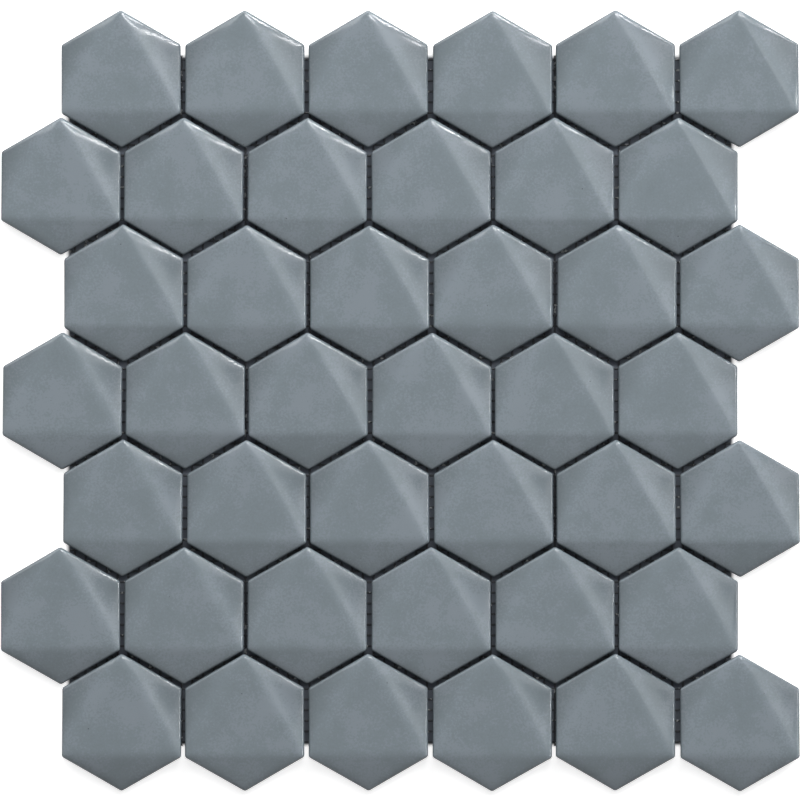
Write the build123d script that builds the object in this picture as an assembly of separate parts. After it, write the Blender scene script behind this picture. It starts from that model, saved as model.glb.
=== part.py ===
from build123d import *

import os
from math import asin, atan2, cos, degrees, radians, sin, sqrt, tan
from random import Random

# Mesh-mounted sheet of glazed hexagon porcelain mosaic, lying face up. Millimetres, +Z up.
# The origin is under the middle of the sheet, on the surface it lies on.

# Tile: a pointed-top hexagon, pressed with a raised middle triangle and three falling facets
TILE_ACROSS_FLATS = 44.7
TILE_HEIGHT = 7.0
LOW_CORNER_HEIGHT = 5.0
CORNER_RADIUS = 1.3
RIM_RADIUS = 1.25
RIDGE_RADIUS = 25.0

# Laying pattern: staggered rows, set by hand
ROWS = 7
COLUMNS = 6
JOINT_WIDTH = 1.7
LEFT_EDGE_BOW = 1.5
PLACE_WANDER = 0.2
TWIST_WANDER = 0.35
LAYING_SEED = 11

# Backing net: two crossing layers of flat yarns, glued under the tiles
YARN_PITCH = 4.0
YARN_WIDTH = 0.9
YARN_THICKNESS = 0.22
NET_SIDE_INSET = 26.0
NET_END_INSET = 16.8

# Sizes that follow from the ones above
TILE_CORNER_REACH = TILE_ACROSS_FLATS / sqrt(3)
RIDGE_REACH = TILE_CORNER_REACH / 2
CORNER_DROP = TILE_HEIGHT - LOW_CORNER_HEIGHT
FACET_SLOPE = degrees(atan2(CORNER_DROP, TILE_CORNER_REACH - RIDGE_REACH))
TILE_PITCH = TILE_ACROSS_FLATS + JOINT_WIDTH
ROW_PITCH = TILE_PITCH * sqrt(3) / 2
SHEET_WIDTH = (COLUMNS - 0.5) * TILE_PITCH + TILE_ACROSS_FLATS
SHEET_LENGTH = (ROWS - 1) * ROW_PITCH + 2 * TILE_CORNER_REACH
NET_WIDTH = SHEET_WIDTH - 2 * NET_SIDE_INSET
NET_LENGTH = SHEET_LENGTH - 2 * NET_END_INSET
NET_THICKNESS = 2 * YARN_THICKNESS

# Directions of the three low corners, their turn from the sides beside them, and a cutter's spare length
LOW_CORNER_ANGLES = (30, 150, 270)
SIDE_TO_CORNER = 30
CUTTER_OVERRUN = 5.0


def facet_cutter():
    """What lies above one facet: level middle, soft ridge, then a straight fall along +X."""
    ridge_start = RIDGE_REACH - RIDGE_RADIUS * tan(radians(FACET_SLOPE / 2))
    ridge = JernArc((ridge_start, TILE_HEIGHT), (1, 0), RIDGE_RADIUS, -FACET_SLOPE)
    fall_run = TILE_CORNER_REACH + CUTTER_OVERRUN - (ridge @ 1).X
    fall = Line(ridge @ 1, ridge @ 1 + ridge % 1 * (fall_run / cos(radians(FACET_SLOPE))))
    over_the_top = TILE_HEIGHT + CUTTER_OVERRUN
    back = Polyline(fall @ 1, ((fall @ 1).X, over_the_top), (ridge_start, over_the_top), ridge @ 0)
    section = make_face(Curve() + [ridge, fall, back])
    return extrude(Plane.XZ * section, TILE_CORNER_REACH + CUTTER_OVERRUN, both=True)


def rim_cutter():
    """What the rounded rim takes off the +X side, from its high corner down to its low one."""
    high_corner = Vector(TILE_ACROSS_FLATS / 2, -RIDGE_REACH, TILE_HEIGHT)
    low_corner = Vector(TILE_ACROSS_FLATS / 2, RIDGE_REACH, LOW_CORNER_HEIGHT)
    run = (low_corner - high_corner).normalized()
    across_rim = Plane(high_corner - run * CUTTER_OVERRUN, x_dir=(1, 0, 0), z_dir=-run)

    # In the section the side is the line x = 0, and the facet falls outwards by this angle
    outward_fall = asin(sin(radians(FACET_SLOPE)) * cos(radians(SIDE_TO_CORNER)))
    facet_normal = Vector(sin(outward_fall), cos(outward_fall))
    half_way = (Vector(1, 0) + facet_normal).normalized()
    centre = Vector(-RIM_RADIUS, -RIM_RADIUS * (1 - facet_normal.X) / facet_normal.Y)
    on_side = centre + Vector(RIM_RADIUS, 0)
    on_facet = centre + facet_normal * RIM_RADIUS
    rounding = ThreePointArc(on_side, centre + half_way * RIM_RADIUS, on_facet)
    outside = Polyline(
        on_facet,
        on_facet + facet_normal * CUTTER_OVERRUN,
        (CUTTER_OVERRUN, CUTTER_OVERRUN),
        on_side + Vector(CUTTER_OVERRUN, 0),
        on_side,
    )
    section = make_face(Curve() + [rounding, outside])
    return extrude(across_rim * section, -((low_corner - high_corner).length + 2 * CUTTER_OVERRUN))


def make_tile():
    """One tile with its back on z = 0: three facets and six rounded rims cut from a rounded hexagon."""
    outline = RegularPolygon(TILE_CORNER_REACH, 6, rotation=LOW_CORNER_ANGLES[0])
    outline = fillet(outline.vertices(), CORNER_RADIUS)
    tile = extrude(outline, TILE_HEIGHT)
    facet = facet_cutter()
    rim = rim_cutter()
    for angle in LOW_CORNER_ANGLES:
        tile -= Rot(0, 0, angle) * facet
        tile -= Rot(0, 0, angle - SIDE_TO_CORNER) * rim
        tile -= Rot(0, 0, angle + SIDE_TO_CORNER) * mirror(rim, Plane.XZ)
    return tile


def laid_places():
    """Where each tile lies, by row from +Y and column from -X, with the sheet's bow and hand-set wander."""
    chance = Random(LAYING_SEED)
    places = {}
    for row in range(ROWS):
        stagger = TILE_PITCH / 4 if row % 2 == 0 else -TILE_PITCH / 4
        for column in range(COLUMNS):
            x = (column - (COLUMNS - 1) / 2) * TILE_PITCH + stagger
            y = ((ROWS - 1) / 2 - row) * ROW_PITCH
            from_right = 0.5 - x / SHEET_WIDTH
            from_ends = 1 - (2 * y / SHEET_LENGTH) ** 2
            x += LEFT_EDGE_BOW * from_right * from_ends + chance.uniform(-PLACE_WANDER, PLACE_WANDER)
            y += chance.uniform(-PLACE_WANDER, PLACE_WANDER)
            twist = chance.uniform(-TWIST_WANDER, TWIST_WANDER)
            places[f"tile_r{row + 1}_c{column + 1}"] = Pos(x, y, NET_THICKNESS) * Rot(0, 0, twist)
    return places


def yarn_layer(length, spread, level):
    """One layer of yarns running along Y, side by side along X on both sides of the middle."""
    yarn = Pos(0, 0, level) * extrude(Rectangle(YARN_WIDTH, length), YARN_THICKNESS)
    count = int((spread - YARN_WIDTH) / YARN_PITCH) + 1
    return [place * yarn for place in GridLocations(YARN_PITCH, YARN_PITCH, count, 1)]


# The tiles are shifted to lie with the middle of their outline over the origin, and the net is centred there
tile = make_tile()
laid = {name: place * tile for name, place in laid_places().items()}
middle = Compound(list(laid.values())).bounding_box().center()
nodes = {name: Pos(-middle.X, -middle.Y, 0) * solid for name, solid in laid.items()}
nodes["net_lengthwise_yarns"] = Compound(yarn_layer(NET_LENGTH, NET_WIDTH, 0))
crosswise_yarns = Compound(yarn_layer(NET_WIDTH, NET_LENGTH, YARN_THICKNESS))
nodes["net_crosswise_yarns"] = Rot(0, 0, 90) * crosswise_yarns

os.makedirs("parts", exist_ok=True)
for name, shape in nodes.items():
    export_step(shape, f"parts/{name}.step")
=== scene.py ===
"""Looks of a sheet of hexagon porcelain mosaic: glazed relief tiles on a net, on a pale floor."""

import logging
import math
import random
from dataclasses import dataclass
from enum import Enum

import bmesh
import bpy
from mathutils import Matrix, Vector, noise


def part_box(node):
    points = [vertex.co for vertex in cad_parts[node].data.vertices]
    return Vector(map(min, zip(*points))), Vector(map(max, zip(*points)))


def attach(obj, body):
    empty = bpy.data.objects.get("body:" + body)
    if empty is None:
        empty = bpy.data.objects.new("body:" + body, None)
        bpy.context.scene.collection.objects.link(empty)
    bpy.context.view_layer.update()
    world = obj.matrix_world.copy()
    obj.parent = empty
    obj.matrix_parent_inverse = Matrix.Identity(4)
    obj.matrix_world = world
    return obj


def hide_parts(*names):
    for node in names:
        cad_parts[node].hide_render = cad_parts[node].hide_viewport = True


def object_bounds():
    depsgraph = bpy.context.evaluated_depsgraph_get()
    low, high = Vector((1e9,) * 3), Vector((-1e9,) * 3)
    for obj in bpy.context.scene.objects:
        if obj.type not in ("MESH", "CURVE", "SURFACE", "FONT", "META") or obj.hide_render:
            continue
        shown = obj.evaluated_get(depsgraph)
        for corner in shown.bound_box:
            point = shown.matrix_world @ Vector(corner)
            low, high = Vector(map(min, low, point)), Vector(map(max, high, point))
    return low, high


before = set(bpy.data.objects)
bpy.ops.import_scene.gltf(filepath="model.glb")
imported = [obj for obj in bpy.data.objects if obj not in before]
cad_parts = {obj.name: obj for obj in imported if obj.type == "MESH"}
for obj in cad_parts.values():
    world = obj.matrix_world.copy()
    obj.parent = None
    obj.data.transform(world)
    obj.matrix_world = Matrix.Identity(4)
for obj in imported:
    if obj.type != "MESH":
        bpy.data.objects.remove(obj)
CAD_LOW, CAD_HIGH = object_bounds()

MM = 0.001
BODY = "root"
LOG = logging.getLogger("mosaic")

# A hexagon's turn from side to side, and how upright and how wide, as a share of the widest,
# a face of a CAD tile is when it counts as one of its six sides
SIXTH_TURN = math.pi / 3
UPRIGHT = 0.01
SIDE_SHARE = 0.25

# A Mix node has sockets of one name for numbers, vectors and colours, so these go by number
MIX_SHARE = 0
MIX_FIRST = 6
MIX_SECOND = 7
MIX_RESULT = 2


class Slot(Enum):
    """The record's material slots for the tiles and the net."""

    TILE = "glazed_porcelain"
    NET = "net_yarn"


class YarnRun(Enum):
    """Which way a layer of net yarns runs, with the CAD node that it stands for."""

    LENGTHWISE = "net_lengthwise_yarns"
    CROSSWISE = "net_crosswise_yarns"

    def spread_axis(self) -> int:
        """Give the axis along which the yarns follow one another: 0 for X, 1 for Y."""
        return 0 if self is YarnRun.LENGTHWISE else 1


class TileFace(Enum):
    """Material index of a tile's two surfaces."""

    GLAZED = 0
    BARE = 1


def linear(code: str) -> tuple[float, float, float, float]:
    """Turn an sRGB hex colour into the linear colour that shaders read.

    Args:
        code: Six hex digits after a hash sign.

    Returns:
        Linear red, green and blue, with an alpha of 1.
    """
    channels = [int(code[i:i + 2], 16) / 255 for i in (1, 3, 5)]
    red, green, blue = (c / 12.92 if c <= 0.04045 else ((c + 0.055) / 1.055) ** 2.4
                        for c in channels)
    return red, green, blue, 1.0


def per_metre(size_mm: float) -> float:
    """Give the texture scale at which one pattern cell is this many millimetres."""
    return 1 / (size_mm * MM)


def add_node(tree: bpy.types.NodeTree, kind: str, inputs: dict | None = None,
             **settings) -> bpy.types.Node:
    """Add one shader node, set it up and link what it reads.

    Args:
        tree: Node tree that takes the node.
        kind: Blender's node type.
        inputs: Socket name or number, to a value or to the output socket that feeds it.
        settings: Properties of the node itself.

    Returns:
        The new node.
    """
    node = tree.nodes.new(kind)
    for name, value in settings.items():
        setattr(node, name, value)
    for socket, value in (inputs or {}).items():
        if isinstance(value, bpy.types.NodeSocket):
            tree.links.new(value, node.inputs[socket])
        else:
            node.inputs[socket].default_value = value
    return node


def new_material(name: str) -> tuple[bpy.types.Material, bpy.types.NodeTree]:
    """Make an empty node material.

    Args:
        name: The real material and how it was made.

    Returns:
        The material and its node tree.
    """
    material = bpy.data.materials.new(name)
    material.use_nodes = True
    material.node_tree.nodes.clear()
    return material, material.node_tree


def seen_directly(tree: bpy.types.NodeTree) -> bpy.types.NodeSocket:
    """Tell the rays that show a surface to the eye from the rays that light things.

    Args:
        tree: Node tree that takes the nodes.

    Returns:
        A socket that is 1 for camera, glossy and transmission rays.
    """
    rays = add_node(tree, "ShaderNodeLightPath").outputs
    mirrored = add_node(tree, "ShaderNodeMath",
                        {0: rays["Is Glossy Ray"], 1: rays["Is Transmission Ray"]},
                        operation="ADD")
    seen = add_node(tree, "ShaderNodeMath", {0: rays["Is Camera Ray"], 1: mirrored.outputs[0]},
                    operation="ADD", use_clamp=True)
    return seen.outputs[0]


def new_piece(name: str, mesh: bpy.types.Mesh, nodes: list[str]) -> bpy.types.Object:
    """Put a finished mesh into the scene as a piece that stands for CAD nodes.

    Args:
        name: Name of the piece.
        mesh: Mesh with its place in its vertices.
        nodes: CAD nodes that the piece stands for.

    Returns:
        The new object, riding on the sheet's one body.
    """
    piece = bpy.data.objects.new(name, mesh)
    bpy.context.scene.collection.objects.link(piece)
    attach(piece, BODY)
    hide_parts(*nodes)
    return piece


@dataclass(frozen=True)
class BlueGreyGlaze:
    """Blue-grey glaze, sprayed on pressed porcelain and fired.

    It gives the eye a gloss over a cloudy, finely mottled colour with a few pinholes, deeper
    towards the low rims, on a skin that is not quite flat.
    """

    colour: str = "#78838a"
    pale_cloud: str = "#7f8991"
    deep_cloud: str = "#717c82"
    cloud_levels: tuple[float, float, float] = (0.5, 0.9, 1.0)
    cloud_mm: float = 14.0
    mottle_mm: float = 0.8
    mottle_share: float = 0.8
    speck: str = "#4a5157"
    speck_mm: float = 11.0
    speck_edge: tuple[float, float] = (0.012, 0.026)
    ripple_mm: float = 5.0
    ripple_depth_mm: float = 0.05
    orange_peel_mm: float = 1.1
    orange_peel_depth_mm: float = 0.006
    # Height range over which the colour darkens towards the low rims, and the share left at the
    # lowest
    darker_low_mm: tuple[float, float] = (5.0, 6.6)
    darker_low_share: float = 0.74
    roughness: float = 0.14
    ior: float = 1.52

    def tint(self, tree: bpy.types.NodeTree,
             place: bpy.types.NodeSocket) -> bpy.types.NodeSocket:
        """Colour the glaze: clouds, mottle and pinholes.

        Args:
            tree: Node tree of the glaze.
            place: Where on the piece a point lies.

        Returns:
            A socket with the colour.
        """
        clouds = add_node(tree, "ShaderNodeTexNoise",
                          {"Vector": place, "Scale": per_metre(self.cloud_mm), "Detail": 3.0,
                           "Roughness": 0.55})
        mottle = add_node(tree, "ShaderNodeTexNoise",
                          {"Vector": place, "Scale": per_metre(self.mottle_mm), "Detail": 2.0,
                           "Roughness": 0.6})
        both = add_node(tree, "ShaderNodeMath",
                        {0: mottle.outputs["Fac"], 1: self.mottle_share, 2: clouds.outputs["Fac"]},
                        operation="MULTIPLY_ADD")
        tint = add_node(tree, "ShaderNodeValToRGB", {"Fac": both.outputs[0]})
        deep, usual, pale = self.cloud_levels
        ramp = tint.color_ramp.elements
        ramp[0].position, ramp[0].color = deep, linear(self.deep_cloud)
        ramp[1].position, ramp[1].color = pale, linear(self.pale_cloud)
        ramp.new(usual).color = linear(self.colour)
        cells = add_node(tree, "ShaderNodeTexVoronoi",
                         {"Vector": place, "Scale": per_metre(self.speck_mm)})
        near, far = self.speck_edge
        pinhole = add_node(tree, "ShaderNodeMapRange",
                           {"Value": cells.outputs["Distance"], "From Min": near, "From Max": far,
                            "To Min": 1.0, "To Max": 0.0})
        specked = add_node(tree, "ShaderNodeMix",
                           {MIX_SHARE: pinhole.outputs[0], MIX_FIRST: tint.outputs[0],
                            MIX_SECOND: linear(self.speck)}, data_type="RGBA")
        return specked.outputs[MIX_RESULT]

    def skin(self, tree: bpy.types.NodeTree,
             place: bpy.types.NodeSocket) -> bpy.types.NodeSocket:
        """Make the glaze not quite flat: fine orange peel on a slow ripple.

        Args:
            tree: Node tree of the glaze.
            place: Where on the piece a point lies.

        Returns:
            A socket with the tilted normal.
        """
        ripple = add_node(tree, "ShaderNodeTexNoise",
                          {"Vector": place, "Scale": per_metre(self.ripple_mm), "Detail": 1.0})
        peel = add_node(tree, "ShaderNodeTexNoise",
                        {"Vector": place, "Scale": per_metre(self.orange_peel_mm), "Detail": 1.0})
        swell = add_node(tree, "ShaderNodeBump",
                         {"Height": ripple.outputs["Fac"], "Strength": 1.0,
                          "Distance": self.ripple_depth_mm * MM})
        skin = add_node(tree, "ShaderNodeBump",
                        {"Height": peel.outputs["Fac"], "Strength": 1.0,
                         "Distance": self.orange_peel_depth_mm * MM, "Normal": swell.outputs[0]})
        return skin.outputs[0]

    def material(self) -> bpy.types.Material:
        """Build the glaze as a node material.

        Returns:
            The glaze, deeper in colour low on the tile.
        """
        material, tree = new_material("porcelain_glaze_sprayed_and_fired")
        place = add_node(tree, "ShaderNodeTexCoord").outputs["Object"]
        level = add_node(tree, "ShaderNodeSeparateXYZ", {0: place})
        # Deeper colour low on the tile, set by height over the back
        low, high = self.darker_low_mm
        low_darkening = add_node(tree, "ShaderNodeMapRange",
                        {"Value": level.outputs["Z"], "From Min": low * MM, "From Max": high * MM,
                         "To Min": self.darker_low_share, "To Max": 1.0})
        coat = add_node(tree, "ShaderNodeVectorMath",
                        {0: self.tint(tree, place), "Scale": low_darkening.outputs[0]}, operation="SCALE")
        glaze = add_node(tree, "ShaderNodeBsdfPrincipled",
                         {"Base Color": coat.outputs[0], "Roughness": self.roughness,
                          "IOR": self.ior, "Normal": self.skin(tree, place)})
        add_node(tree, "ShaderNodeOutputMaterial", {"Surface": glaze.outputs[0]})
        return material


@dataclass(frozen=True)
class BarePorcelain:
    """Unglazed porcelain body, dry-pressed and fired: chalky, pale grey and slightly grainy."""

    colour: str = "#b9b5ad"
    dusty: str = "#a8a49c"
    # The pressed grain is too fine to show, so it is drawn coarser
    grain_mm: float = 0.8
    grain_depth_mm: float = 0.03
    roughness: float = 0.85
    ior: float = 1.5

    def material(self) -> bpy.types.Material:
        """Build the bare body as a node material.

        Returns:
            The bare porcelain.
        """
        material, tree = new_material("porcelain_body_pressed_unglazed")
        place = add_node(tree, "ShaderNodeTexCoord").outputs["Object"]
        grain = add_node(tree, "ShaderNodeTexNoise",
                         {"Vector": place, "Scale": per_metre(self.grain_mm), "Detail": 4.0})
        tint = add_node(tree, "ShaderNodeMix",
                        {MIX_SHARE: grain.outputs["Fac"], MIX_FIRST: linear(self.dusty),
                         MIX_SECOND: linear(self.colour)}, data_type="RGBA")
        rough = add_node(tree, "ShaderNodeBump",
                         {"Height": grain.outputs["Fac"], "Strength": 1.0,
                          "Distance": self.grain_depth_mm * MM})
        body = add_node(tree, "ShaderNodeBsdfPrincipled",
                        {"Base Color": tint.outputs[MIX_RESULT], "Roughness": self.roughness,
                         "IOR": self.ior, "Normal": rough.outputs[0]})
        add_node(tree, "ShaderNodeOutputMaterial", {"Surface": body.outputs[0]})
        return material


@dataclass(frozen=True)
class CoatedGlassYarn:
    """Glass yarn, woven into an open net and dipped in dark resin.

    It gives the eye a near black with a dull waxy shine, and small pale spots on it that are
    painted glints.
    """

    colour: str = "#34373b"
    worn: str = "#4e5257"
    # Single glass filaments are too fine to show, so they are drawn as coarse bundles
    filament_mm: float = 0.25
    filament_depth_mm: float = 0.04
    # Painted glints: colour, size and noise levels of small pale spots on the yarn
    painted_glint: str = "#c9ccce"
    glint_spot_mm: float = 2.2
    glint_spot_levels: tuple[float, float] = (0.62, 0.66)
    roughness: float = 0.5
    ior: float = 1.5

    def material(self) -> bpy.types.Material:
        """Build the coated yarn as a node material.

        Returns:
            The coated yarn with its crusts of glue.
        """
        material, tree = new_material("glass_yarn_woven_and_resin_coated")
        place = add_node(tree, "ShaderNodeTexCoord").outputs["Object"]
        fibre = add_node(tree, "ShaderNodeTexNoise",
                         {"Vector": place, "Scale": per_metre(self.filament_mm), "Detail": 2.0})
        tint = add_node(tree, "ShaderNodeMix",
                        {MIX_SHARE: fibre.outputs["Fac"], MIX_FIRST: linear(self.colour),
                         MIX_SECOND: linear(self.worn)}, data_type="RGBA")
        # Painted glints: noise picks out small pale spots on the yarn
        glint_spots = add_node(tree, "ShaderNodeTexNoise",
                         {"Vector": place, "Scale": per_metre(self.glint_spot_mm), "Detail": 1.0})
        spot_start, covered = self.glint_spot_levels
        glint_share = add_node(tree, "ShaderNodeMapRange",
                         {"Value": glint_spots.outputs["Fac"], "From Min": spot_start, "From Max": covered})
        glinted = add_node(tree, "ShaderNodeMix",
                           {MIX_SHARE: glint_share.outputs[0], MIX_FIRST: tint.outputs[MIX_RESULT],
                            MIX_SECOND: linear(self.painted_glint)}, data_type="RGBA")
        ribs = add_node(tree, "ShaderNodeBump",
                        {"Height": fibre.outputs["Fac"], "Strength": 1.0,
                         "Distance": self.filament_depth_mm * MM})
        yarn = add_node(tree, "ShaderNodeBsdfPrincipled",
                        {"Base Color": glinted.outputs[MIX_RESULT], "Roughness": self.roughness,
                         "IOR": self.ior, "Normal": ribs.outputs[0]})
        add_node(tree, "ShaderNodeOutputMaterial", {"Surface": yarn.outputs[0]})
        return material


@dataclass(frozen=True)
class WhiteBoard:
    """Matt white studio board.

    It gives the eye plain white around the sheet, in reflections too, with a soft shadow, and
    under
    the net a painted shade: a darker grey that stands in for the shade between the tiles.
    """

    colour: str = "#f2f2f2"
    # Painted shade under the net, standing in for the shade down between the tiles
    painted_shade_under_net: str = "#777d87"
    lift: float = 0.75
    edge_mm: float = 1.5

    def under_net(self, tree: bpy.types.NodeTree, axis: str, half: float) -> bpy.types.NodeSocket:
        """Mark the strip of the board that the net covers along one axis.

        Args:
            tree: Node tree of the board.
            axis: X or Y.
            half: Half of the net's size along the axis, in metres.

        Returns:
            A socket that is 1 under the net and 0 outside it.
        """
        place = add_node(tree, "ShaderNodeTexCoord").outputs["Object"]
        split = add_node(tree, "ShaderNodeSeparateXYZ", {0: place})
        away = add_node(tree, "ShaderNodeMath", {0: split.outputs[axis]}, operation="ABSOLUTE")
        strip = add_node(tree, "ShaderNodeMapRange",
                         {"Value": away.outputs[0], "From Min": half,
                          "From Max": half + self.edge_mm * MM, "To Min": 1.0, "To Max": 0.0})
        return strip.outputs[0]

    def material(self) -> bpy.types.Material:
        """Build the board as a node material.

        Returns:
            The board.
        """
        material, tree = new_material("studio_board_matt_white")
        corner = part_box(YarnRun.CROSSWISE.value)[1]
        covered = add_node(tree, "ShaderNodeMath",
                           {0: self.under_net(tree, "X", corner.x),
                            1: self.under_net(tree, "Y", corner.y)}, operation="MULTIPLY")
        open_board = add_node(tree, "ShaderNodeMapRange",
                              {"Value": covered.outputs[0], "To Min": self.lift, "To Max": 0.0})
        lift = add_node(tree, "ShaderNodeMath",
                        {0: seen_directly(tree), 1: open_board.outputs[0]}, operation="MULTIPLY")
        # Painted shade: under the net the board takes a darker grey instead of its white
        tint = add_node(tree, "ShaderNodeMix",
                        {MIX_SHARE: covered.outputs[0], MIX_FIRST: linear(self.colour),
                         MIX_SECOND: linear(self.painted_shade_under_net)}, data_type="RGBA")
        board = add_node(tree, "ShaderNodeBsdfDiffuse", {"Color": tint.outputs[MIX_RESULT]})
        glow = add_node(tree, "ShaderNodeEmission", {"Strength": lift.outputs[0]})
        both = add_node(tree, "ShaderNodeAddShader", {0: board.outputs[0], 1: glow.outputs[0]})
        add_node(tree, "ShaderNodeOutputMaterial", {"Surface": both.outputs[0]})
        return material


@dataclass(frozen=True)
class LaidPlace:
    """Where one tile lies in the sheet, read from its CAD node.

    Attributes:
        node: Name of the CAD node.
        centre: Middle of the tile's back, in metres.
        twist: Turn about the vertical, in radians.
        half_flat: Distance from the middle to each straight side, in metres.
        height: Height of the tile's face over its back, in metres.
    """

    node: str
    centre: Vector
    twist: float
    half_flat: float
    height: float

    @classmethod
    def read(cls, node: str) -> "LaidPlace":
        """Measure a tile's place from the flat sides of its CAD mesh.

        Args:
            node: Name of the CAD node.

        Returns:
            The tile's place.
        """
        low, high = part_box(node)
        centre = Vector(((low.x + high.x) / 2, (low.y + high.y) / 2, low.z))
        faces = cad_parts[node].data.polygons
        upright = [face for face in faces if abs(face.normal.z) < UPRIGHT]
        widest = max(face.area for face in upright)
        sides = [face for face in upright if face.area > widest * SIDE_SHARE]
        half = SIXTH_TURN / 2
        turns = [math.atan2(face.normal.y, face.normal.x) for face in sides]
        twist = sum((turn + half) % SIXTH_TURN - half for turn in turns) / len(turns)
        half_flat = sum(face.normal.dot(face.center - centre) for face in sides) / len(sides)
        return cls(node, centre, twist, half_flat, high.z - low.z)

    def matrix(self) -> Matrix:
        """Give the transform from the tile's own frame to the sheet."""
        return Matrix.Translation(self.centre) @ Matrix.Rotation(self.twist, 4, "Z")


@dataclass(frozen=True)
class Pressing:
    """What sets one tile apart from the others.

    Attributes:
        depth: Its share of the full relief.
        ridge_radius: Rounding of its ridges, in millimetres.
        seed: Offset into the noise of its rim and glaze line.
    """

    depth: float
    ridge_radius: float
    seed: Vector


@dataclass(frozen=True)
class SideRing:
    """A ring round a tile's side, in millimetres.

    Attributes:
        level: Height over the back.
        inset: How far it lies in from the outline.
        wander: How far it strays up and down.
    """

    level: float
    inset: float
    wander: float = 0.0


@dataclass
class PressedTile:
    """A pressed hexagon with a raised middle triangle and three dished facets, in millimetres."""

    half_flat: float
    height: float
    corner_radius: float = 1.3
    corner_steps: int = 4
    rim_radius: float = 0.8
    rim_steps: int = 6
    shoulder_width: float = 3.5
    shoulder_drop: float = 0.38
    rim_wander: float = 0.3
    rim_wander_scale: float = 0.09
    facet_slope: float = math.radians(15.5)
    ridge_inset: float = 0.6
    dish_radius: float = 62.0
    grid: float = 1.2
    snap: float = 0.015
    back_inset: float = 0.25
    back_chamfer: float = 0.25
    glaze_line: float = 0.55
    glaze_line_inset: float = 0.15
    glaze_line_wander: float = 0.2
    glaze_line_scale: float = 0.15
    low_corners: tuple[float, ...] = (math.radians(30), math.radians(150), math.radians(270))

    def reach(self) -> float:
        """Give the distance from the middle to a sharp corner."""
        return self.half_flat / math.cos(SIXTH_TURN / 2)

    def plan(self) -> bmesh.types.BMesh:
        """Draw the tile's outline with rings for the rounded rim, cut into a fine grid.

        Returns:
            A flat bmesh at the height of the back, in millimetres.
        """
        plan = bmesh.new()
        bmesh.ops.create_circle(plan, cap_ends=True, segments=6, radius=self.reach())
        bmesh.ops.bevel(plan, geom=plan.verts[:], affect="VERTICES", offset_type="OFFSET",
                        offset=self.corner_radius * math.tan(SIXTH_TURN / 2),
                        segments=self.corner_steps, profile=0.5, material=-1)
        middle = plan.faces[:]
        done = 0.0
        for step in range(1, self.rim_steps + 1):
            inwards = self.rim_radius * (1 - math.cos(step / self.rim_steps * math.pi / 2))
            bmesh.ops.inset_region(plan, faces=middle, thickness=inwards - done,
                                   use_even_offset=True, use_boundary=True)
            done = inwards
        across = ((Vector((1, 0, 0)), self.half_flat), (Vector((0, 1, 0)), self.reach()))
        for direction, extent in across:
            lines = int(extent / self.grid)
            for line in range(-lines, lines + 1):
                everything = plan.verts[:] + plan.edges[:] + plan.faces[:]
                bmesh.ops.bisect_plane(plan, geom=everything, dist=self.snap,
                                       plane_co=direction * (line * self.grid),
                                       plane_no=direction)
        bmesh.ops.remove_doubles(plan, verts=plan.verts[:], dist=self.snap)
        return plan

    def inside(self, point: Vector) -> float:
        """Give a point's distance in from the rounded outline.

        Args:
            point: Point in the tile's own frame.

        Returns:
            The distance, 0 on the outline.
        """
        half = SIXTH_TURN / 2
        angle = math.atan2(point.y, point.x)
        corner = math.floor(angle / SIXTH_TURN) * SIXTH_TURN + half
        towards = Vector((math.cos(corner), math.sin(corner), 0))
        bend = towards * (self.reach() - self.corner_radius / math.cos(half))
        off = Vector((point.x, point.y, 0)) - bend
        if off.length > 0 and off.dot(towards) > off.length * math.cos(half):
            return self.corner_radius - off.length
        sides = (corner - half, corner + half)
        return self.half_flat - max(point.x * math.cos(side) + point.y * math.sin(side)
                                    for side in sides)

    def fall(self, along: float, ridge_radius: float) -> float:
        """Give how far a facet lies below the middle plane.

        Args:
            along: Distance from the tile's middle towards the facet's low corner.
            ridge_radius: Rounding of the ridge between the middle and the facet.

        Returns:
            The drop: none in the middle, rounded at the ridge, then dished.
        """
        ridge_middle = self.reach() / 2 - self.ridge_inset
        run = along - (ridge_middle - ridge_radius * math.tan(self.facet_slope / 2))
        if run <= 0:
            return 0.0
        ridge_run = ridge_radius * math.sin(self.facet_slope)
        if run <= ridge_run:
            return ridge_radius - math.sqrt(ridge_radius ** 2 - run ** 2)
        ridge_drop = ridge_radius * (1 - math.cos(self.facet_slope))
        left = self.dish_radius * math.sin(self.facet_slope) - (run - ridge_run)
        dish = math.sqrt(self.dish_radius ** 2 - max(left, 0.0) ** 2)
        return ridge_drop + dish - self.dish_radius * math.cos(self.facet_slope)

    def face_height(self, point: Vector, own: Pressing) -> float:
        """Give the height of the glazed face over the back.

        Args:
            point: Point in the tile's own frame.
            own: What sets this tile apart from the others.

        Returns:
            The height, with the relief, the soft shoulder and the rounded rim.
        """
        drop = sum(self.fall(point.x * math.cos(a) + point.y * math.sin(a), own.ridge_radius)
                   for a in self.low_corners)
        inside = max(self.inside(point), 0.0)
        short = max(self.rim_radius - inside, 0.0)
        rim = self.rim_radius - math.sqrt(self.rim_radius ** 2 - short ** 2)
        shoulder = self.shoulder_drop * max(1 - inside / self.shoulder_width, 0.0) ** 2
        spot = Vector((point.x, point.y, 0)) * self.rim_wander_scale + own.seed
        uneven = 1 + self.rim_wander * noise.noise(spot)
        return self.height - own.depth * drop - rim - shoulder * uneven

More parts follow.
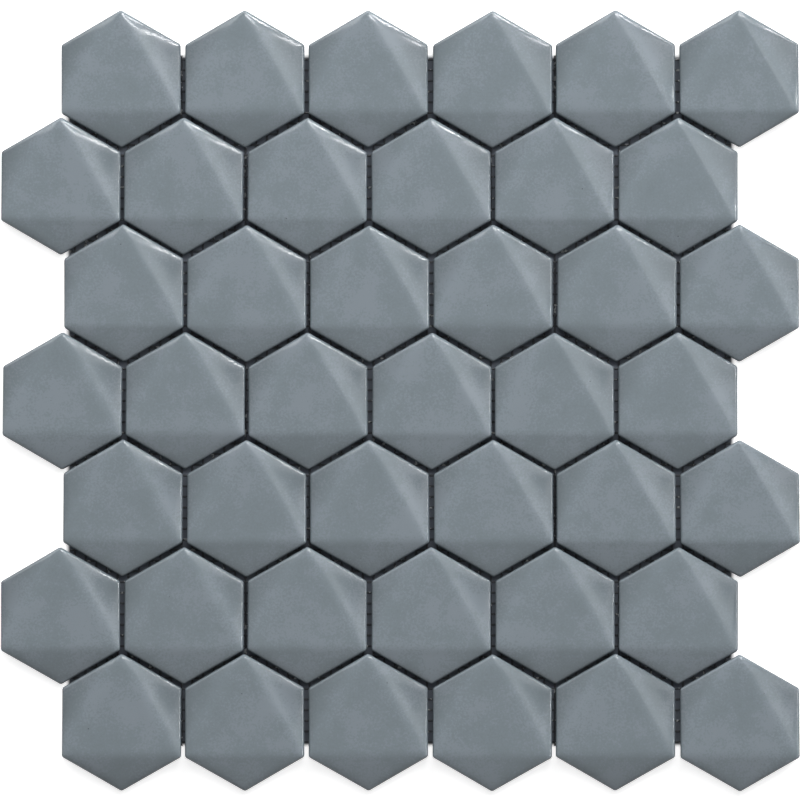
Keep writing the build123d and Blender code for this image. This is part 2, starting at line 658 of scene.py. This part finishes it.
    def build(self, plan: bmesh.types.BMesh, own: Pressing) -> bmesh.types.BMesh:
        """Raise the plan into a whole tile with its sides and back.

        Args:
            plan: Flat plan of the tile.
            own: What sets this tile apart from the others.

        Returns:
            A closed bmesh in the tile's own frame, in millimetres.
        """
        tile = plan.copy()
        for vert in tile.verts:
            vert.co.z = self.face_height(vert.co, own)
        rings = (SideRing(self.glaze_line, self.glaze_line_inset, self.glaze_line_wander),
                 SideRing(self.back_chamfer, self.back_inset),
                 SideRing(0.0, self.back_inset + self.back_chamfer))
        bare: list[bmesh.types.BMFace] = []
        rim = [edge for edge in tile.edges if edge.is_boundary]
        inset = 0.0
        for ring in rings:
            grown = bmesh.ops.extrude_edge_only(tile, edges=rim)["geom"]
            rim = [item for item in grown if isinstance(item, bmesh.types.BMEdge)]
            scale = (self.half_flat - ring.inset) / (self.half_flat - inset)
            for vert in (item for item in grown if isinstance(item, bmesh.types.BMVert)):
                vert.co.x *= scale
                vert.co.y *= scale
                spot = vert.co * self.glaze_line_scale + own.seed
                vert.co.z = ring.level + ring.wander * noise.noise(spot)
            # The glaze ends at the first ring
            if ring is not rings[0]:
                bare += [item for item in grown if isinstance(item, bmesh.types.BMFace)]
            inset = ring.inset
        bare += bmesh.ops.contextual_create(tile, geom=rim)["faces"]
        bmesh.ops.recalc_face_normals(tile, faces=tile.faces[:])
        for face in tile.faces:
            face.smooth = True
            face.material_index = TileFace.GLAZED.value
        for face in bare:
            face.material_index = TileFace.BARE.value
        return tile


@dataclass
class TileField:
    """All the tiles of the sheet, each in the place of its CAD node."""

    glaze: BlueGreyGlaze
    bare: BarePorcelain
    relief: tuple[float, float] = (0.88, 1.12)
    ridge_radius: tuple[float, float] = (7.0, 16.0)
    under_box: float = 0.002
    sharp_angle: float = math.radians(35)
    seed: int = 5
    noise_step: float = 7.3

    def dress(self, mesh: bpy.types.Mesh, finishes: list[bpy.types.Material]) -> None:
        """Give a tile its crisp back edges and its finishes.

        Args:
            mesh: The tile's mesh.
            finishes: Glaze and bare body, in the order of TileFace.
        """
        mesh.set_sharp_from_angle(angle=self.sharp_angle)
        for finish in finishes:
            mesh.materials.append(finish)

    def build(self) -> list[bpy.types.Object]:
        """Make one piece for each CAD tile.

        Returns:
            The tiles, in the order of their names.
        """
        chance = random.Random(self.seed)
        nodes = [node for node in sorted(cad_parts) if node.startswith("tile_")]
        places = [LaidPlace.read(node) for node in nodes]
        pattern = PressedTile(half_flat=places[0].half_flat / MM,
                              height=places[0].height / MM - self.under_box)
        plan = pattern.plan()
        finishes = [self.glaze.material(), self.bare.material()]
        pieces = []
        for number, place in enumerate(places):
            own = Pressing(chance.uniform(*self.relief), chance.uniform(*self.ridge_radius),
                           Vector((0, 0, self.noise_step * number)))
            shape = pattern.build(plan, own)
            mesh = bpy.data.meshes.new(f"glazed_{place.node}")
            shape.to_mesh(mesh)
            shape.free()
            mesh.transform(place.matrix() @ Matrix.Scale(MM, 4))
            self.dress(mesh, finishes)
            pieces.append(new_piece(mesh.name, mesh, [place.node]))
        plan.free()
        return pieces


@dataclass
class BackingNet:
    """The open net under the tiles, in millimetres.

    Twisted pairs of lengthwise yarns grip flat crosswise yarns.
    """

    finish: CoatedGlassYarn
    ply_width: float = 0.34
    ply_thickness: float = 0.17
    ply_swing: float = 0.26
    ply_sides: int = 4
    steps_per_cell: int = 3
    flat_thickness: float = 0.14
    flat_sides: int = 6
    pinch: float = 0.95

    @staticmethod
    def lines(run: YarnRun) -> list[float]:
        """Find the middle line of each CAD yarn.

        Args:
            run: Which layer of yarns.

        Returns:
            The yarns' places in millimetres, in order.
        """
        axis = run.spread_axis()
        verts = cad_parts[run.value].data.vertices
        # Rounded to a micron, so that the corners along one side of a yarn count once
        edges = sorted({round(vert.co[axis] / MM, 3) for vert in verts})
        return [(low + high) / 2 for low, high in zip(edges[::2], edges[1::2])]

    @staticmethod
    def tube(shape: bmesh.types.BMesh, sides: int,
             rings: list[tuple[Vector, float, float]]) -> None:
        """Grow a closed tube along Y through a row of rings.

        Args:
            shape: Bmesh that takes the tube.
            sides: Sides of the tube's section.
            rings: Middle, width and thickness of each ring.
        """
        # The first circle is 1 across, so that each ring's width and thickness scale it
        ring = bmesh.ops.create_circle(shape, cap_ends=True, segments=sides, radius=0.5)["verts"]
        base = [Vector((vert.co.x, 0, vert.co.y)) for vert in ring]
        edges = list(dict.fromkeys(edge for vert in ring for edge in vert.link_edges))
        for number, (middle, width, thickness) in enumerate(rings):
            if number:
                grown = bmesh.ops.extrude_edge_only(shape, edges=edges)["geom"]
                fresh = [item for item in grown if isinstance(item, bmesh.types.BMVert)]
                edges = [item for item in grown if isinstance(item, bmesh.types.BMEdge)
                         and item.verts[0] in fresh and item.verts[1] in fresh]
                ring = [next(edge.other_vert(vert) for edge in vert.link_edges
                             if edge.other_vert(vert) in fresh) for vert in ring]
            for vert, spot in zip(ring, base):
                vert.co = middle + Vector((spot.x * width, 0, spot.z * thickness))
        bmesh.ops.contextual_create(shape, geom=edges)

    def lengthwise(self) -> bpy.types.Object:
        """Make the lengthwise yarns: one twisted pair, repeated across the net.

        Returns:
            The piece.
        """
        low, high = (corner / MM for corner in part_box(YarnRun.LENGTHWISE.value))
        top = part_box(YarnRun.CROSSWISE.value)[1].z / MM
        columns = self.lines(YarnRun.LENGTHWISE)
        rows = self.lines(YarnRun.CROSSWISE)
        cell = rows[1] - rows[0]
        steps = round((high.y - low.y) / cell * self.steps_per_cell)
        lift = (top - self.ply_thickness) / 2
        pair = bmesh.new()
        # At each crossing one ply passes over the crosswise yarn and the other under it
        for side in (0, math.pi):
            rings = []
            for step in range(steps + 1):
                y = low.y + (high.y - low.y) * step / steps
                turn = math.pi * (y - rows[0]) / cell + side
                x = columns[0] + self.ply_swing * math.sin(turn)
                middle = Vector((x, y, top / 2 + lift * math.cos(turn)))
                rings.append((middle, self.ply_width, self.ply_thickness))
            self.tube(pair, self.ply_sides, rings)
        return self.repeat(pair, "net_twisted_lengthwise_yarns", YarnRun.LENGTHWISE)

    def crosswise(self) -> bpy.types.Object:
        """Make the crosswise yarns: one flat yarn, pinched at its crossings, then repeated.

        Returns:
            The piece.
        """
        low, high = (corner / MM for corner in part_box(YarnRun.CROSSWISE.value))
        columns = self.lines(YarnRun.LENGTHWISE)
        rows = self.lines(YarnRun.CROSSWISE)
        half_cell = (columns[1] - columns[0]) / 2
        width = 2 * (rows[0] - low.y)
        between = (columns[0] + half_cell * step for step in range(2 * len(columns) - 1))
        rings = []
        # Every second ring lies at a crossing
        for number, x in enumerate((low.x, *between, high.x)):
            share = self.pinch if number % 2 else 1.0
            rings.append((Vector((-rows[0], x, high.z / 2)), width * share, self.flat_thickness))
        flat = bmesh.new()
        self.tube(flat, self.flat_sides, rings)
        quarter_turn = Matrix.Rotation(-math.pi / 2, 3, "Z")
        bmesh.ops.rotate(flat, verts=flat.verts[:], cent=Vector(), matrix=quarter_turn)
        return self.repeat(flat, "net_flat_crosswise_yarns", YarnRun.CROSSWISE)

    def repeat(self, shape: bmesh.types.BMesh, name: str, run: YarnRun) -> bpy.types.Object:
        """Repeat one yarn over the whole net as a dressed piece.

        Args:
            shape: The first yarn, in its place, in millimetres.
            name: Name of the piece.
            run: Which layer of yarns it stands for.

        Returns:
            The piece.
        """
        bmesh.ops.recalc_face_normals(shape, faces=shape.faces[:])
        for face in shape.faces:
            face.smooth = True
        mesh = bpy.data.meshes.new(name)
        shape.to_mesh(mesh)
        shape.free()
        mesh.transform(Matrix.Scale(MM, 4))
        self.dress(mesh)
        piece = new_piece(name, mesh, [run.value])
        places = self.lines(run)
        step = [0.0, 0.0, 0.0]
        step[run.spread_axis()] = (places[1] - places[0]) * MM
        row = piece.modifiers.new("yarns", "ARRAY")
        row.count = len(places)
        row.use_relative_offset = False
        row.use_constant_offset = True
        row.constant_offset_displace = step
        return piece

    def dress(self, mesh: bpy.types.Mesh) -> None:
        """Give a yarn its finish."""
        mesh.materials.append(self.finish.material())

    def build(self) -> list[bpy.types.Object]:
        """Make both layers of the net."""
        return [self.lengthwise(), self.crosswise()]


@dataclass(frozen=True)
class SoftBox:
    """A rectangular lamp that faces the sheet.

    Attributes:
        name: Its name.
        azimuth: Its direction from +X, in degrees.
        elevation: Its height over the floor, in degrees.
        size: Its width and height, in metres.
        power: Its power, in watts.
        mirrored: Whether shiny surfaces show it.
        fills: Whether it lights matt surfaces.
    """

    name: str
    azimuth: float
    elevation: float
    size: tuple[float, float]
    power: float
    mirrored: bool = True
    fills: bool = True

    def hang(self, distance: float) -> None:
        """Hang the lamp at its distance from the middle of the sheet.

        Args:
            distance: Distance in metres.
        """
        turn, rise = math.radians(self.azimuth), math.radians(self.elevation)
        flat = math.cos(rise)
        towards = Vector((flat * math.cos(turn), flat * math.sin(turn), math.sin(rise)))
        light = bpy.data.lights.new(self.name, "AREA")
        light.shape = "RECTANGLE"
        light.size, light.size_y = self.size
        light.energy = self.power
        lamp = bpy.data.objects.new(self.name, light)
        lamp.location = towards * distance
        lamp.rotation_euler = (-towards).to_track_quat("-Z", "Y").to_euler()
        lamp.visible_glossy = self.mirrored
        lamp.visible_diffuse = self.fills
        bpy.context.scene.collection.objects.link(lamp)


@dataclass
class Studio:
    """Floor, soft light and the camera straight above the sheet. Sizes are in metres."""

    board: WhiteBoard
    floor_size: float = 8.0
    camera_height: float = 3.0
    frame_width: float = 0.29936
    sensor: float = 36.0
    aim: tuple[float, float] = (-0.0001, 0.0003)
    lamp_distance: float = 2.0
    lamps: tuple[SoftBox, ...] = (
        SoftBox("soft_box_key", azimuth=57, elevation=31, size=(1.8, 1.1), power=44.5,
                mirrored=False),
        SoftBox("soft_box_side", azimuth=125, elevation=33, size=(1.6, 1.0), power=15.0),
        SoftBox("soft_box_top", azimuth=88, elevation=66, size=(0.8, 0.9), power=8.0,
                mirrored=False),
        SoftBox("soft_box_sheen", azimuth=45, elevation=60, size=(1.4, 0.6), power=3.2,
                fills=False),
        SoftBox("strip_light_rim", azimuth=61, elevation=42, size=(0.9, 0.08), power=18.0,
                fills=False),
        SoftBox("strip_light_glint", azimuth=68, elevation=58, size=(0.7, 0.08), power=7.5,
                fills=False),
        SoftBox("strip_light_edge", azimuth=8, elevation=37, size=(0.9, 0.08), power=15.0,
                fills=False),
    )
    world_strength: float = 0.12

    def floor(self) -> None:
        """Lay the board that the sheet lies on."""
        sheet = bmesh.new()
        bmesh.ops.create_grid(sheet, x_segments=1, y_segments=1, size=self.floor_size / 2)
        mesh = bpy.data.meshes.new("studio_floor")
        sheet.to_mesh(mesh)
        sheet.free()
        mesh.materials.append(self.board.material())
        floor = bpy.data.objects.new("studio_floor", mesh)
        bpy.context.scene.collection.objects.link(floor)

    def light(self) -> None:
        """Hang the lamps and set the surroundings: white to the eye, dim as a light."""
        for lamp in self.lamps:
            lamp.hang(self.lamp_distance)
        world = bpy.data.worlds.new("studio_surroundings")
        world.use_nodes = True
        tree = world.node_tree
        tree.nodes.clear()
        level = add_node(tree, "ShaderNodeMapRange",
                         {"Value": seen_directly(tree), "To Min": self.world_strength,
                          "To Max": 1.0})
        air = add_node(tree, "ShaderNodeBackground", {"Strength": level.outputs[0]})
        add_node(tree, "ShaderNodeOutputWorld", {"Surface": air.outputs[0]})
        bpy.context.scene.world = world

    def camera(self) -> None:
        """Hang the camera straight above, framed on the whole sheet."""
        lens = bpy.data.cameras.new("camera")
        lens.sensor_width = self.sensor
        lens.lens = self.sensor * (self.camera_height - CAD_HIGH.z) / self.frame_width
        camera = bpy.data.objects.new("camera", lens)
        camera.location = (*self.aim, self.camera_height)
        bpy.context.scene.collection.objects.link(camera)
        bpy.context.scene.camera = camera

    def build(self) -> None:
        """Set up the floor, the light, the camera and the plain view transform."""
        self.floor()
        self.light()
        self.camera()
        bpy.context.scene.view_settings.view_transform = "Standard"


def main() -> None:
    """Build the sheet and its studio, and report each piece."""
    logging.basicConfig(level=logging.INFO, format="%(name)s: %(message)s")
    tiles = TileField(BlueGreyGlaze(), BarePorcelain()).build()
    net = BackingNet(CoatedGlassYarn()).build()
    for piece in tiles + net:
        LOG.info("%s: %d faces before modifiers", piece.name, len(piece.data.polygons))
    Studio(WhiteBoard()).build()


if __name__ == "__main__":
    main()
